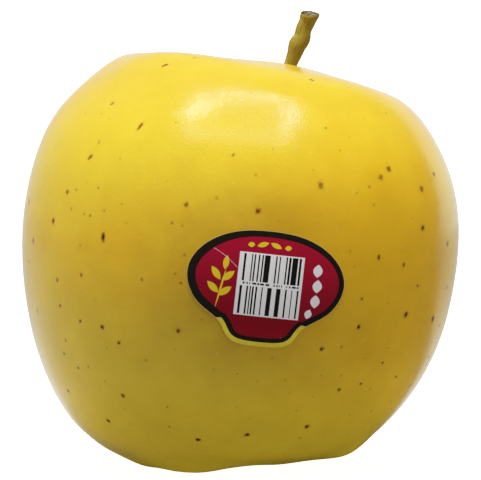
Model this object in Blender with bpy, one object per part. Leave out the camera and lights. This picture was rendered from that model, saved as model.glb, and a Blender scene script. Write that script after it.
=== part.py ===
"""A whole yellow apple with its stem, a printed fruit label on its side and the dried calyx underneath.

The skin is lofted round the core from a left and a right profile, with five lobes round the calyx. The core
leans, and the apple stands on small flat spots under its lobes. The label follows the skin, the stem rises
from the pit and the calyx sits in the basin below. Sizes are in millimetres and angles in degrees.
"""

import math

import bpy
import numpy as np
from mathutils import Vector
from mathutils.bvhtree import BVHTree

MM = 0.001

# Body: radius and height from the core's middle, at stations from the stem's pit to the calyx
LEFT_SIDE = [(0, 25), (4.5, 27.5), (9, 34), (14, 38.5), (20, 39), (29, 38), (36.5, 30), (42.5, 19.5),
             (44.5, 5), (42.5, -10), (37, -24.5), (28.5, -36), (20, -40.5), (13.5, -42.5), (8.5, -39),
             (4.5, -36), (0, -35)]
RIGHT_SIDE = [(0, 25), (4.5, 27.5), (9, 34), (13, 38.5), (19.5, 38.5), (27.5, 36.5), (35.5, 29), (41.5, 16.5),
              (43, 2), (41.5, -11), (36.5, -23), (28.5, -32.5), (20.5, -36.5), (13.5, -38.5), (8.5, -37.5),
              (4.5, -35.5), (0, -35)]
STATIONS = len(LEFT_SIDE) - 1
CORE_AT = (0.07, -0.1, 39.9)
CORE_LEAN_RIGHT = 8.5
CORE_LEAN_BACK = 3.0

# Lobes: the direction of each from above and how far it reaches down past the profile
LOBES = [(-125, 0.65), (-53, -0.6), (19, -0.1), (91, -1.0), (163, -0.4)]
LOBE_WIDTH = 27.0
CROWN_STATION = 12.9
CROWN_SPREAD = 1.5
SHOULDER_STATION = 4.6
SHOULDER_SPREAD = 2.0
CROWN_RIB = 0.5
SHOULDER_RIB = 0.7
BELLY_RIB = 0.01

# Stem: the centre line's x and z and the diameter, from the pit up to the flared end
STEM_LINE = [(4.0, 65.4, 3.4), (5.3, 68.6, 2.6), (7.4, 73.4, 2.4), (9.8, 78.5, 2.6), (10.9, 81.4, 3.3),
             (11.4, 82.6, 3.6), (12.1, 83.7, 3.4), (12.35, 85.1, 3.1), (12.9, 86.5, 3.15), (13.4, 87.6, 3.4),
             (13.75, 88.5, 3.9)]
STEM_ROOT_Y = 1.4
STEM_TIP_Y = 2.4
STEM_END_DISH = 0.35
STEM_RIDGES = 5
STEM_RIDGE_HEIGHT = 0.04

# Label: its middle in front of the skin, its turn and the right half of its outline, across and up
LABEL_X = 4.5
LABEL_Z = 38.1
LABEL_TURN = 6.5
LABEL_HALF = [(0, 9.8), (5.5, 9.3), (10.2, 7.4), (13.3, 4.4), (14.4, 1.0), (13.6, -2.2), (11.4, -4.9),
              (8.0, -7.2), (6.5, -9.2), (4.4, -10.9), (0, -11.3)]
LABEL_THICKNESS = 0.2

# Calyx: five dried sepals that curl down and out from a small base in the basin
SEPALS = 5
SEPAL_SPREAD = 4.0
SEPAL_HEIGHT = 2.8
SEPAL_CURL = 1.3
SEPAL_NOTCH = 0.4
SEPAL_POINT = 0.8
SEPAL_WAVE = 0.25
SEPAL_THICKNESS = 0.4

# Gap between pieces that touch, and how finely each is divided
GAP = 0.3
BODY_RINGS = 46
BODY_SIDES = 84
FINE_RINGS = 220
FINE_SIDES = 360
STEM_RINGS = 24
STEM_SIDES = 16
LABEL_RINGS = 8
LABEL_SIDES = 48
CALYX_RINGS = 7
CALYX_SIDES = 50


def clear_scene():
    """Remove every object of the start-up scene."""
    for old in list(bpy.data.objects):
        bpy.data.objects.remove(old, do_unlink=True)


def curve(points, at):
    """Natural cubic curve through the points, which it passes at 0, 1, 2 and so on."""
    p = np.array(points, float)
    rows = np.eye(len(p))
    right = np.zeros_like(p)
    for i in range(1, len(p) - 1):
        rows[i, i - 1 : i + 2] = (1.0, 4.0, 1.0)
        right[i] = 6.0 * (p[i - 1] - 2.0 * p[i] + p[i + 1])
    bend = np.linalg.solve(rows, right)
    k = np.clip(np.floor(at).astype(int), 0, len(p) - 2)
    u = (at - k)[..., None]
    v = 1.0 - u
    return v * p[k] + u * p[k + 1] + ((v**3 - v) * bend[k] + (u**3 - u) * bend[k + 1]) / 6.0


def profile(side, station):
    """Radius and height of one side, mirrored past both ends so that the skin crosses the axis level."""
    p = np.array(side, float)
    mirror = np.array([-1.0, 1.0])
    extra = 4
    p = np.vstack([p[extra:0:-1] * mirror, p, p[-2 : -extra - 2 : -1] * mirror])
    return curve(p, station + extra)


def bell(distance, spread):
    """Smooth hump, 1 in the middle."""
    return np.exp(-((distance / spread) ** 2))


def leaned(x, y, z):
    """Lean the core to the right, then back, and set its middle in place."""
    a = math.radians(CORE_LEAN_RIGHT)
    b = math.radians(CORE_LEAN_BACK)
    x, z = x * math.cos(a) + z * math.sin(a), -x * math.sin(a) + z * math.cos(a)
    y, z = y * math.cos(b) + z * math.sin(b), -y * math.sin(b) + z * math.cos(b)
    return np.stack([x, y, z], axis=-1) + CORE_AT


def skin(station, turn):
    """Points of the skin: station 0 is the pit's base and the last one the basin's, turn is in radians."""
    share = (1.0 + np.cos(turn))[..., None] / 2.0
    section = share * profile(RIGHT_SIDE, station) + (1.0 - share) * profile(LEFT_SIDE, station)
    across = section[..., 0]
    along = section[..., 1]
    reach = 0.0
    rib = 0.0
    for direction, size in LOBES:
        away = (turn - math.radians(direction) + math.pi) % (2.0 * math.pi) - math.pi
        lobe = bell(away, math.radians(LOBE_WIDTH))
        reach = reach + size * lobe
        rib = rib + lobe - 0.5
    crown = bell(station - CROWN_STATION, CROWN_SPREAD)
    shoulder = bell(station - SHOULDER_STATION, SHOULDER_SPREAD)
    belly = np.sin(math.pi * station / STATIONS) ** 2
    along = along - crown * reach + SHOULDER_RIB * shoulder * rib
    across = across * (1.0 + BELLY_RIB * belly * rib) + CROWN_RIB * crown * rib
    points = leaned(across * np.cos(turn), across * np.sin(turn), along)
    points[..., 2] = np.maximum(points[..., 2], 0.0)
    return points


def skin_mesh(rings, sides):
    """Vertices and faces of the closed skin, with one vertex at each pole."""
    station = np.linspace(0.0, STATIONS, rings + 1)[1:-1]
    turn = np.linspace(-math.pi, math.pi, sides, endpoint=False)
    grid = skin(*np.meshgrid(station, turn, indexing="ij"))
    poles = skin(np.array([0.0, STATIONS]), np.zeros(2))
    points = np.vstack([grid.reshape(-1, 3), poles])
    faces = bands(rings - 1, sides)
    top = len(points) - 2
    last = (rings - 2) * sides
    for i in range(sides):
        j = (i + 1) % sides
        faces.append((i, j, top))
        faces.append((last + j, last + i, top + 1))
    return points, faces


def bands(rings, sides):
    """Triangles between rings of vertices, each ring following the one before it."""
    faces = []
    for ring in range(rings - 1):
        for i in range(sides):
            j = (i + 1) % sides
            a = ring * sides + i
            b = ring * sides + j
            c = a + sides
            d = b + sides
            faces.append((a, c, b))
            faces.append((b, c, d))
    return faces


def disc_faces(rings, sides):
    """Triangles of a disc whose first vertex is its middle and whose rings follow, turning anticlockwise."""
    faces = [(0, 1 + i, 1 + (i + 1) % sides) for i in range(sides)]
    faces += [tuple(1 + k for k in face) for face in bands(rings, sides)]
    return faces


def material(name, colour, roughness):
    """Principled material of one colour."""
    made = bpy.data.materials.new(name)
    made.use_nodes = True
    shader = made.node_tree.nodes["Principled BSDF"]
    shader.inputs["Base Color"].default_value = (*colour, 1.0)
    shader.inputs["Roughness"].default_value = roughness
    shader.inputs["Metallic"].default_value = 0.0
    made.diffuse_color = (*colour, 1.0)
    return made


def add_object(name, points, faces, made):
    """Smooth-shaded mesh object, from points in millimetres."""
    mesh = bpy.data.meshes.new(name)
    mesh.from_pydata([tuple(p) for p in np.array(points) * MM], [], faces)
    mesh.materials.append(made)
    mesh.shade_smooth()
    mesh.update()
    item = bpy.data.objects.new(name, mesh)
    bpy.context.scene.collection.objects.link(item)
    return item


def thicken(item, thickness):
    """Solidify a sheet outwards, along its normals."""
    solid = item.modifiers.new("thickness", "SOLIDIFY")
    solid.thickness = thickness * MM
    solid.offset = 1.0


def build_body():
    """The fruit itself."""
    points, faces = skin_mesh(BODY_RINGS, BODY_SIDES)
    return add_object("apple", points, faces, material("apple_skin", (0.76, 0.50, 0.06), 0.3))


def stem_frame(line):
    """Two unit vectors across the stem at each point of its line."""
    along = np.gradient(line, axis=0)
    along /= np.linalg.norm(along, axis=1)[:, None]
    side = np.cross(along, (0.0, -1.0, 0.0))
    side /= np.linalg.norm(side, axis=1)[:, None]
    return side, np.cross(side, along)


def build_stem():
    """Woody stem with low ridges, a knuckle and a flared end that is slightly dished."""
    knots = [(x, STEM_ROOT_Y, z, d) for x, z, d in STEM_LINE]
    at = np.linspace(0.0, len(knots) - 1.0, STEM_RINGS)
    path = curve(knots, at)
    line = path[:, :3]
    line[:, 1] = np.linspace(STEM_ROOT_Y, STEM_TIP_Y, STEM_RINGS)
    side, front = stem_frame(line)
    turn = np.linspace(0.0, 2.0 * math.pi, STEM_SIDES, endpoint=False)
    points = []
    for k in range(STEM_RINGS):
        radius = path[k, 3] / 2.0 + STEM_RIDGE_HEIGHT * np.cos(STEM_RIDGES * turn)
        ring = np.outer(radius * np.cos(turn), side[k]) + np.outer(radius * np.sin(turn), front[k])
        points += list(line[k] + ring)
    end = line[-1] - line[-2]
    points.append(line[0])
    points.append(line[-1] - STEM_END_DISH * end / np.linalg.norm(end))
    faces = bands(STEM_RINGS, STEM_SIDES)
    last = (STEM_RINGS - 1) * STEM_SIDES
    root = len(points) - 2
    for i in range(STEM_SIDES):
        j = (i + 1) % STEM_SIDES
        faces.append((i, j, root))
        faces.append((last + j, last + i, root + 1))
    item = add_object("stem", points, faces, material("stem_bark", (0.20, 0.14, 0.03), 0.7))
    item.data.set_sharp_from_angle(angle=math.radians(50.0))
    return item


def build_label(tree):
    """Thin printed label that follows the skin on the apple's front."""
    half = LABEL_HALF + [(-x, y) for x, y in LABEL_HALF[-2:0:-1]]
    extra = 4
    closed = half[-extra:] + half + half[: extra + 1]
    outline = curve(closed, extra + np.arange(LABEL_SIDES) * len(half) / LABEL_SIDES)[::-1]
    turn = math.radians(LABEL_TURN)
    points = []
    rings = [outline * ring / LABEL_RINGS for ring in range(1, LABEL_RINGS + 1)]
    for ring in [np.zeros((1, 2))] + rings:
        for across, up in ring:
            x = LABEL_X + across * math.cos(turn) + up * math.sin(turn)
            z = LABEL_Z - across * math.sin(turn) + up * math.cos(turn)
            hit, normal, _, _ = tree.ray_cast(Vector((x, -100.0, z)), Vector((0.0, 1.0, 0.0)))
            points.append(hit + normal * GAP)
    faces = disc_faces(LABEL_RINGS, LABEL_SIDES)
    item = add_object("sticker", points, faces, material("label_print", (0.30, 0.01, 0.04), 0.35))
    thicken(item, LABEL_THICKNESS)
    return item


def build_calyx():
    """Star of dried sepals, one thin wavy sheet, that hangs in the basin clear of the floor."""
    base = skin(np.array([float(STATIONS)]), np.zeros(1))[0]
    up = leaned(0.0, 0.0, 1.0) - leaned(0.0, 0.0, 0.0)
    right = leaned(1.0, 0.0, 0.0) - leaned(0.0, 0.0, 0.0)
    back = np.cross(up, right)
    middle = base - up * (GAP + SEPAL_THICKNESS)
    turn = np.linspace(0.0, 2.0 * math.pi, CALYX_SIDES, endpoint=False)
    point = (1.0 - np.abs(np.sin(SEPALS * turn / 2.0))) ** SEPAL_POINT
    reach = SEPAL_NOTCH + (1.0 - SEPAL_NOTCH) * point
    points = [middle]
    for ring in range(1, CALYX_RINGS + 1):
        q = reach * ring / CALYX_RINGS
        radius = SEPAL_SPREAD * (1.0 - (1.0 - q) ** 2) + SEPAL_CURL * q**4
        drop = SEPAL_HEIGHT * q**2 + SEPAL_WAVE * q * np.sin(3.0 * turn)
        for r, h, angle in zip(radius, drop, turn):
            points.append(middle + r * math.cos(angle) * right + r * math.sin(angle) * back - h * up)
    faces = disc_faces(CALYX_RINGS, CALYX_SIDES)
    item = add_object("calyx", points, faces, material("calyx_dry", (0.07, 0.04, 0.02), 0.9))
    thicken(item, SEPAL_THICKNESS)
    return item


def main():
    clear_scene()
    fine_points, fine_faces = skin_mesh(FINE_RINGS, FINE_SIDES)
    tree = BVHTree.FromPolygons([Vector(p) for p in fine_points], fine_faces)
    build_body()
    build_stem()
    build_label(tree)
    build_calyx()


main()
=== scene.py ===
"""The looks of a whole yellow apple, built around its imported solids.

The skin, stem, label and calyx are modelled again, finely, from the same named sizes as the solids, and each
replaces its node. Sizes are in millimetres and angles in degrees unless a comment says otherwise, and every
mesh is scaled to metres when it is made. Colours are linear, with their alpha.
"""

import math
import random

import bmesh
import bpy
import numpy as np
from mathutils import Matrix, Vector, noise
from mathutils.bvhtree import BVHTree
from mathutils.kdtree import KDTree


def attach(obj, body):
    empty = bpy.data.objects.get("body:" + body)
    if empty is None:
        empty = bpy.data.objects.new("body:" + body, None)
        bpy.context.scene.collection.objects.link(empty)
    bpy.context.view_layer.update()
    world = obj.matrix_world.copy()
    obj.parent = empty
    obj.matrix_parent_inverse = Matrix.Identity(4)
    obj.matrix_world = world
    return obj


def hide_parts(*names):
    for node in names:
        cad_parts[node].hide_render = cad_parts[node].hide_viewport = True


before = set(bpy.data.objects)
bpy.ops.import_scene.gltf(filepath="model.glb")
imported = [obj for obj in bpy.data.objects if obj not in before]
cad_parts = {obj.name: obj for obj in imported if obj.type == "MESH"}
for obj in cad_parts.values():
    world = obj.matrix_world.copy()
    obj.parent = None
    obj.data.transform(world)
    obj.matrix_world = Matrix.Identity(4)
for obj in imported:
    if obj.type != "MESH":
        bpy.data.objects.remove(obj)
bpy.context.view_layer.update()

MM = 0.001
SEED = 7

# Body: radius and height from the core's middle, at stations from the stem's pit to the calyx
LEFT_SIDE = [(0, 25), (4.5, 27.5), (9, 34), (14, 38.5), (20, 39), (29, 38), (36.5, 30), (42.5, 19.5),
             (44.5, 5), (42.5, -10), (37, -24.5), (28.5, -36), (20, -40.5), (13.5, -42.5), (8.5, -39),
             (4.5, -36), (0, -35)]
RIGHT_SIDE = [(0, 25), (4.5, 27.5), (9, 34), (13, 38.5), (19.5, 38.5), (27.5, 36.5), (35.5, 29), (41.5, 16.5),
              (43, 2), (41.5, -11), (36.5, -23), (28.5, -32.5), (20.5, -36.5), (13.5, -38.5), (8.5, -37.5),
              (4.5, -35.5), (0, -35)]
STATIONS = len(LEFT_SIDE) - 1
CORE_AT = (0.07, -0.1, 39.9)
CORE_LEAN_RIGHT = 8.5
CORE_LEAN_BACK = 3.0

# Lobes: the direction of each from above and how far it reaches down past the profile
LOBES = [(-125, 0.65), (-53, -0.6), (19, -0.1), (91, -1.0), (163, -0.4)]
LOBE_WIDTH = 27.0
CROWN_STATION = 12.9
CROWN_SPREAD = 1.5
SHOULDER_STATION = 4.6
SHOULDER_SPREAD = 2.0
CROWN_RIB = 0.5
SHOULDER_RIB = 0.7
BELLY_RIB = 0.01

# Shallow waves of the skin: least and most depth, size, and the height at which they are fully deep
WAVE_LEAST = 0.02
WAVE_MOST = 0.12
WAVE_SIZE = 9.0
WAVE_FULL_Z = 6.0

# Local swellings and hollows of the skin: where, how high and how wide
SWELLS = [((7.0, -14.0, 77.8), 0.9, 7.0), ((-33.5, -3.0, 71.5), 0.5, 8.0), ((30.0, -4.0, 71.0), 0.35, 9.0),
          ((20.5, -8.0, 3.2), 0.8, 4.5), ((-16.0, -12.0, 0.3), -0.5, 5.0), ((-7.0, -14.5, 0.4), 0.4, 4.0),
          ((-25.4, -6.6, 3.7), 0.45, 4.5), ((-23.7, -8.0, 79.0), -0.4, 5.5)]

# How many rings and sides the skin's mesh starts with
SKIN_RINGS = 150
SKIN_SIDES = 220

# Stem: the centre line's x and z and the diameter, from the pit up to the flared end
STEM_LINE = [(4.0, 65.4, 3.4), (5.3, 68.6, 2.6), (7.4, 73.4, 2.4), (9.8, 78.5, 2.6), (10.9, 81.4, 3.3),
             (11.4, 82.6, 3.6), (12.1, 83.7, 3.4), (12.35, 85.1, 3.1), (12.9, 86.5, 3.15), (13.4, 87.6, 3.4),
             (13.75, 88.5, 3.9)]
STEM_ROOT_Y = 1.4
STEM_TIP_Y = 2.4
STEM_RINGS = 150
STEM_SIDES = 84

# Stem's finish: its bark's relief, then the fall, height, jags, reach, rim, dish and roughness of its end
BARK_RIDGE = 0.09
BARK_FIBRE = 0.05
BARK_KNOB = 0.05
STEM_CUT_FRONT = 17.0
STEM_CUT_RIGHT = 9.0
STEM_CUT_TOP = 88.55
STEM_CUT_JAG = 0.3
STEM_CUT_REACH = 2.5
STEM_CUT_ROUND = 0.12
STEM_RIM_REACH = 0.5
STEM_END_RINGS = 14
STEM_END_DISH = 0.3
STEM_END_ROUGH = 0.1
STEM_END_ROUGH_SIZE = 0.45

# Label: its place and turn, the right half of its outline, across and up, then its mesh
LABEL_X = 4.5
LABEL_Z = 38.1
LABEL_TURN = 6.5
LABEL_HALF = [(0, 9.8), (5.5, 9.3), (10.2, 7.4), (13.3, 4.4), (14.4, 1.0), (13.6, -2.2), (11.4, -4.9),
              (8.0, -7.2), (6.5, -9.2), (4.4, -10.9), (0, -11.3)]
LABEL_SIDES = 240
LABEL_FIELD_RINGS = 22
LABEL_EDGE_RINGS = 4
LABEL_CENTRE = (0.0, -0.5)
LABEL_SHARP = 50.0

# Film of the label: its gap to the skin and thickness, and how its tab has come loose at the bottom
FILM_GAP = 0.03
FILM_THICKNESS = 0.07
FILM_WRINKLE = 0.02
FILM_WRINKLE_SIZE = 3.0
TAB_LOOSE = (-7.5, -11.3)
TAB_LIFT = 0.3

# Bands round the print: a bare cut edge, a yellow lip round the tab and a black border of uneven width
CUT_EDGE = 0.10
LIP_WIDTH = 0.8
TAB_LIP_RAMP = (-6.95, -7.35)
BORDER_TOP = 1.1
BORDER_LEFT_MORE = 0.4
BORDER_LEFT_RAMP = (2.0, 13.0)
BORDER_RIGHT_LESS = 0.15
BORDER_RIGHT_RAMP = (6.0, 14.0)
BORDER_TAB_LESS = 0.3

# Print: the panel's left, right, low and high side, then its rows of bars, each with its count and sides
INK_EDGE = 0.04
PANEL = (-5.2, 6.6, -5.9, 5.6)
PANEL_MARGIN = 0.3
BAR_ROWS = [(12, (0.4, 5.35)), (11, (-5.65, -0.5)), (15, (-0.17, 0.17))]
BAR_WIDTHS = (1, 1.5, 2, 4)

# Yellow sprig and dots, and pale chain of lozenges: across, up, turn, length and width of each leaf shape
SPRIG = [(-8.0, -1.5, 80, 7.6, 0.35), (-9.1, 1.2, 128, 2.9, 1.2), (-6.9, 0.9, 42, 2.9, 1.2),
         (-9.4, -1.4, 140, 2.9, 1.2), (-7.2, -1.9, 38, 2.9, 1.2), (-7.5, 3.3, 85, 2.6, 1.1),
         (-1.2, 7.2, 20, 2.2, 0.9), (1.2, 7.2, -20, 2.2, 0.9), (3.4, 7.0, 10, 1.3, 0.9),
         (-3.3, 7.0, 10, 1.3, 0.9)]
CHAIN = [(9.2, 3.4, 88, 2.4, 1.7), (9.4, 0.6, 88, 2.4, 1.7), (9.3, -2.2, 88, 2.4, 1.7),
         (8.3, -4.6, 75, 1.8, 1.3)]

# Crease across the print's upper left: centre, radius and span of its arc, then its fades and height
CREASE = (-16.4, -8.9, 15.9, -11.5, -5.2)
CREASE_START = 1.0
CREASE_END = 0.5
CREASE_EDGE = (0.02, 0.11)
CREASE_HEIGHT = 0.05

# Patch of the skin that the label lies on: its stations and directions, and how finely it is divided
PATCH_STATIONS = (5.0, 12.5)
PATCH_TURNS = (-150.0, -30.0)
PATCH_STEPS = 280

# Camera: where it looks, how far off it is and its pitch, then its picture, its sensor and its clipping
CAMERA_TARGET = (0.0, 0.0, 44.0)
CAMERA_DISTANCE = 520.0
CAMERA_PITCH = 3.0
PHOTO_WIDTH = 481.0
PHOTO_HEIGHT = 480.0
MM_PER_PIXEL = 86.0 / 437.0
SENSOR = 36.0
CLIP_START = 0.02
CLIP_END = 20.0

# Marks that stand out in the photograph: pixel across and down, length, width, turn and darkness of each
MARKS = [
    (140, 126, 1.7, 0.7, 50, 0.5), (90, 157, 1.2, 0.8, 20, 0.5), (103, 237, 0.7, 1.5, 0, 1.0),
    (258, 211, 0.9, 0.9, 0, 0.75), (321, 185, 1.0, 1.5, 0, 0.42), (381, 177, 1.2, 1.15, 0, 0.42),
    (389, 169, 1.2, 1.1, 0, 0.5), (422, 189, 1.3, 1.2, 0, 0.5), (423, 228, 1.0, 0.9, 0, 0.85),
    (186, 205, 0.9, 0.9, 0, 0.5), (165, 65, 1.4, 0.6, 10, 0.6), (112, 103, 0.9, 0.9, 0, 0.4),
    (233, 155, 0.7, 0.7, 0, 0.3), (67, 192, 0.9, 0.8, 0, 0.5), (53, 221, 0.9, 1.0, 0, 0.72),
    (182, 226, 0.6, 0.6, 0, 0.1), (312, 80, 1.0, 0.6, -30, 0.5), (326, 128, 0.6, 0.8, 0, 0.2),
    (374, 205, 0.6, 0.6, 0, 0.1), (434, 174, 0.9, 0.9, 0, 0.6), (406, 315, 1.0, 0.95, 0, 0.85),
    (359, 327, 0.65, 0.75, 0, 1.0), (322, 349, 0.7, 0.7, 0, 1.0), (433, 319, 1.1, 1.1, 0, 0.72),
    (178, 331, 0.8, 0.8, 0, 0.75), (102, 327, 0.7, 0.7, 0, 1.0), (123, 396, 0.75, 0.65, 0, 0.9),
    (108, 421, 0.8, 0.7, 0, 0.9), (198, 440, 0.8, 0.7, 0, 1.0), (307, 427, 0.9, 0.8, 0, 1.0),
    (247, 435, 0.85, 0.75, 0, 1.0), (81, 275, 0.7, 0.8, 0, 0.45), (379, 257, 0.6, 0.9, 0, 0.75),
    (404, 265, 0.7, 0.8, 0, 0.5), (418, 286, 0.6, 0.6, 0, 0.6), (362, 299, 0.65, 0.5, 30, 0.55),
    (383, 363, 0.5, 0.5, 0, 0.8), (396, 377, 0.55, 0.5, 0, 0.7), (361, 384, 0.6, 0.5, 30, 0.7),
    (339, 390, 0.6, 0.6, 0, 0.85), (429, 357, 0.7, 0.7, 0, 0.5), (440, 325, 0.8, 0.8, 0, 0.5),
    (448, 244, 0.9, 0.9, 0, 0.6), (447, 287, 0.7, 0.5, 0, 0.6), (357, 193, 0.5, 0.5, 0, 0.2),
    (29, 202, 0.9, 0.9, 0, 0.6), (33, 241, 0.9, 1.0, 0, 0.6), (98, 188, 0.6, 0.5, 0, 0.25),
    (104, 211, 0.5, 0.5, 0, 0.35), (90, 216, 0.6, 0.6, 0, 0.25), (84, 214, 0.5, 0.5, 0, 0.2),
    (57, 280, 0.8, 0.8, 0, 0.5), (60, 306, 0.6, 0.5, 0, 0.65), (80, 321, 0.6, 0.55, 0, 0.9),
    (119, 343, 0.6, 0.6, 0, 0.9), (64, 354, 0.6, 0.5, 0, 0.6), (78, 368, 0.6, 0.5, 0, 0.6),
    (88, 367, 0.5, 0.5, 0, 0.25), (68, 391, 0.8, 0.6, 0, 0.85), (181, 283, 0.5, 0.5, 0, 0.5),
    (37, 311, 0.7, 1.0, 20, 0.35), (172, 223, 0.5, 0.5, 0, 0.3), (175, 274, 0.6, 0.6, 0, 0.2),
]

# Lenticels: how many, how far apart, their radius, how much longer than wide, and how sparse on top
LENTICELS = 340
LENTICEL_GAP = 2.6
LENTICEL_SMALL = 0.16
LENTICEL_LARGE = 0.42
LENTICEL_LONGER = 1.15
SPARSE_TOP = 0.5

# Depth of the lenticels: the deepest, how rare deep ones are, and how much fainter they are in front
MARK_DARKEST = 0.8
MARK_RARITY = 1.8
FAINT_FRONT_Y = -8.0
FAINT_SHARE = 0.35

# Outline of a mark, in its radius: how far it wanders, its core, ring and reaches, then its waves' size
MARK_RAGGED = 0.55
MARK_CORE = (1.25, 0.55)
MARK_RING = (2.1, 0.9)
MARK_TONE_REACH = 2.0
MARK_REACH = 4.0
MARK_RAGGED_SIZE = 0.4

# How strongly the shallowest mark shows, and how much more the deepest does
MARK_PALEST = 0.4
MARK_DEEPENING = 1.1

# How near a mark the skin's mesh is divided again, once for each distance
REFINE_REACH = (1.5, 0.9, 0.45)

# Skin's colours: most of it, its belt, its crown's darker gold as painted shade, then those of its small
# features
LEMON = (0.82, 0.550, 0.030, 1.0)
GOLDEN = (0.77, 0.420, 0.014, 1.0)
CROWN_SHADE_GOLD = (0.70, 0.430, 0.030, 1.0)
PALE_DOT = (0.86, 0.68, 0.16, 1.0)
PIT_GREEN = (0.36, 0.33, 0.04, 1.0)
RUSSET = (0.27, 0.15, 0.05, 1.0)
OCHRE_MARK = (0.22, 0.095, 0.012, 1.0)
OCHRE_RING = (0.48, 0.27, 0.020, 1.0)
RUSTY_MARK = (0.18, 0.018, 0.002, 1.0)
RUSTY_RING = (0.26, 0.085, 0.006, 1.0)
DARK_MARK = (0.045, 0.003, 0.004, 1.0)

# Depths at which a mark turns from ochre to rusty and then to dark, and how much of its colour a ring has
DEPTH_RUSTY = (0.4, 0.72)
DEPTH_DARK = (0.72, 1.0)
RING_SHARE = 0.5

# Patterns of the skin: scale, detail and roughness of each noise
CLOUD_NOISE = (45.0, 4.0, 0.6)
BLOTCH_NOISE = (130.0, 4.0, 0.6)
MOTTLE_NOISE = (420.0, 3.0, 0.6)
STREAK_NOISE = (7.0, 4.0, 0.6)
RUSSET_NOISE = (14.0, 4.0, 0.7)
BLOOM_NOISE = (1900.0, 4.0, 0.75)

# How light the skin is at least, and how much its blotches, streaks and mottles add
LIGHT_LEAST = 0.80
LIGHT_BY_BLOTCH = 0.25
LIGHT_BY_STREAK = 0.08
LIGHT_BY_MOTTLE = 0.07

# Golden belt: height, growth to the right, loss off its height, clouds, its end on the right and its edge
BELT_HEIGHT = 44.0
BELT_TO_RIGHT = 9.0
BELT_OFF_HEIGHT = 22.0
BELT_CLOUDS = 0.8
BELT_END_X = 34.0
BELT_GONE_X = 41.0
BELT_LOSS = 0.7
BELT_EDGE = (-0.3, 0.45)

# Crown: the heights between which the skin turns to its darker gold, painted shade that tones down the light
# from above, and how much of it
CROWN_FROM = 60.0
CROWN_TO = 78.0
CROWN_SHARE = 0.8

# Painted shade low on the front flank, in metres: its middle, then how it fades to the sides, back, top and
# low end
FLANK_X = -0.001
FLANK_SIDES = (0.002, 0.024)
FLANK_BACK = (-0.02, 0.0)
FLANK_TOP = (0.048, 0.057)
FLANK_TOP_MOTTLE = 0.022
FLANK_LOW = (0.012, 0.036)
FLANK_SHADE = 0.58

# Painted shade on the foot and painted light on the lower rims beside it: where each starts, is full and
# ends, and how strong it is
FOOT_TOP = 20.0
FOOT_SHADE = 0.24
FOOT_FULL_X = 18.0
FOOT_GONE_X = 30.0
RIM_FROM_X = 24.0
RIM_FULL_X = 32.0
RIM_FULL_Z = 10.0
RIM_TOP_Z = 34.0
RIM_PAINTED_LIGHT = 0.2

# Pit, russet and basin: the stations between which each fades, how far streaks move it, and its share
PIT_EDGE = (1.4, 4.2)
PIT_STREAKS = 1.6
PIT_SHARE = 0.75
RUSSET_EDGE = (1.6, 3.2)
RUSSET_STREAKS = 3.0
RUSSET_SHARE = 0.6
BASIN_EDGE = (14.6, 16.4)
BASIN_STREAKS = 1.2
BASIN_SHARE = 0.6

# Faint pale dots of the skin: how far apart, their radius, the full share of it, and their colour's share
DOT_GAP = 3.6
DOT_RADIUS = 0.45
DOT_CORE = 0.3
DOT_SHARE = 0.45

# Wax: its index, its roughness, and how much its bloom and the marks add to that
SKIN_IOR = 1.36
WAX_ROUGH = 0.035
BLOOM_EDGE = (0.46, 0.56)
BLOOM_ROUGH = 0.10
MARK_ROUGH = 0.1

# Fine relief of the wax: noise and height of its ripples, grain and flecks, and the hollow of a mark
RIPPLE_NOISE = (700.0, 3.0, 0.6)
RIPPLE_HEIGHT = 0.03
GRAIN_SIZE = 0.5
GRAIN_NOISE = (2.0, 0.6)
GRAIN_HEIGHT = 0.026
FLECK_SIZE = 0.45
FLECK_EDGE = (0.50, 0.58)
FLECK_HEIGHT = 0.006
MARK_HOLLOW = 0.015

# Label's dull print and its colours
FILM_IOR = 1.16
CRIMSON_LOW = (0.24, 0.004, 0.012, 1.0)
CRIMSON_HIGH = (0.38, 0.005, 0.027, 1.0)
PANEL_PAPER = (0.87, 0.85, 0.84, 1.0)
INK_BLACK = (0.010, 0.008, 0.007, 1.0)
INK_YELLOW = (0.80, 0.58, 0.02, 1.0)
INK_PALE = (0.86, 0.82, 0.82, 1.0)
BORDER_BLACK = (0.006, 0.004, 0.003, 1.0)
BORDER_BLACK_LIGHT = (0.02, 0.014, 0.010, 1.0)
CREASE_PALE = (0.85, 0.62, 0.62, 1.0)
LIP_YELLOW = (0.66, 0.50, 0.02, 1.0)
LIP_YELLOW_LIGHT = (0.88, 0.70, 0.07, 1.0)
CUT_EDGE_PALE = (0.62, 0.47, 0.14, 1.0)

# Print's patterns: its crimson and clouds, the gaps of the crease, its dust, and where the lip ends
CRIMSON_RAMP = (-6.0, 10.0)
CRIMSON_CLOUDS = 300.0
CRIMSON_CLOUDS_REACH = 3.0
CREASE_GAPS = 700.0
DUST_CELLS = 900.0
DUST_SIZE = (0.03, 0.09)
DUST_PATCHES = 600.0
DUST_EDGE = (0.62, 0.7)
LIP_TO_CUT_EDGE = (-7.2, -6.9)

# Fine grain of print, border and lip: noise and height, then least roughness and what the grain adds
PRINT_GLOSS_NOISE = 2500.0
PRINT_NOISE = (900.0, 3.0)
PRINT_HEIGHT = 0.01
BORDER_NOISE = (1500.0, 3.0)
LIP_NOISE = (1200.0, 3.0)
BAND_HEIGHT = 0.008
PRINT_ROUGH = (0.30, 0.15)
BORDER_ROUGH = (0.38, 0.2)
LIP_ROUGH = (0.35, 0.2)

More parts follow.
